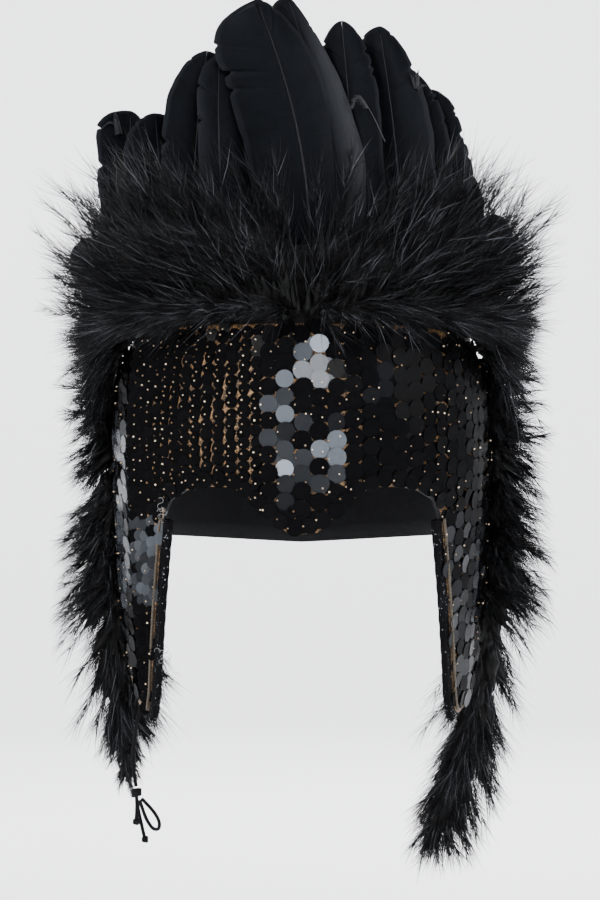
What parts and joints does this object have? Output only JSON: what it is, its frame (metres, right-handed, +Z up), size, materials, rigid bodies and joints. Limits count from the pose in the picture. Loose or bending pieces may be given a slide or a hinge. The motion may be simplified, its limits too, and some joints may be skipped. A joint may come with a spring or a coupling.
{
  "type": "feathered headdress",
  "caption": "Worn headdress: sequin panel with a pointed brow and two cheek flaps, marabou ruff and trims, and a tall fan of black feathers",
  "frame": {"origin": "middle of the head opening, level with the arches of the brow edge, where the headdress sits on a head", "axes": "+Z up, -Y out of the front, +X to the right as seen from the front"},
  "size_m": [0.2161, 0.2006, 0.3679],
  "materials": {
    "sequin_panel": "round black paillettes sewn on net, mirror gloss",
    "cap_cloth": "matte black felted cloth",
    "glitter_binding": "black tape with glitter threads",
    "gold_piping": "gold metallic thread cord",
    "goose_feather": "satin blue-black feather vanes",
    "marabou": "soft matte black down with fine glints",
    "tie_cord": "matte black cotton cord"
  },
  "bodies": {
    "root": {"front_panel": "sequin_panel", "crown_cap": "cap_cloth", "feather_band": "cap_cloth", "binding_left": "glitter_binding", "binding_right": "glitter_binding", "piping_left": "gold_piping", "piping_right": "gold_piping", "feather_01": "goose_feather", "feather_02": "goose_feather", "feather_03": "goose_feather", "feather_04": "goose_feather", "feather_05": "goose_feather", "feather_06": "goose_feather", "feather_07": "goose_feather", "feather_08": "goose_feather", "feather_09": "goose_feather", "feather_10": "goose_feather", "feather_11": "goose_feather", "feather_12": "goose_feather", "feather_13": "goose_feather", "feather_14": "goose_feather", "marabou_ruff": "marabou", "marabou_trim_left": "marabou", "marabou_trim_right": "marabou", "tie_cord": "tie_cord", "tie_loop": "tie_cord", "tie_knot": "tie_cord"}
  },
  "joints": []
}
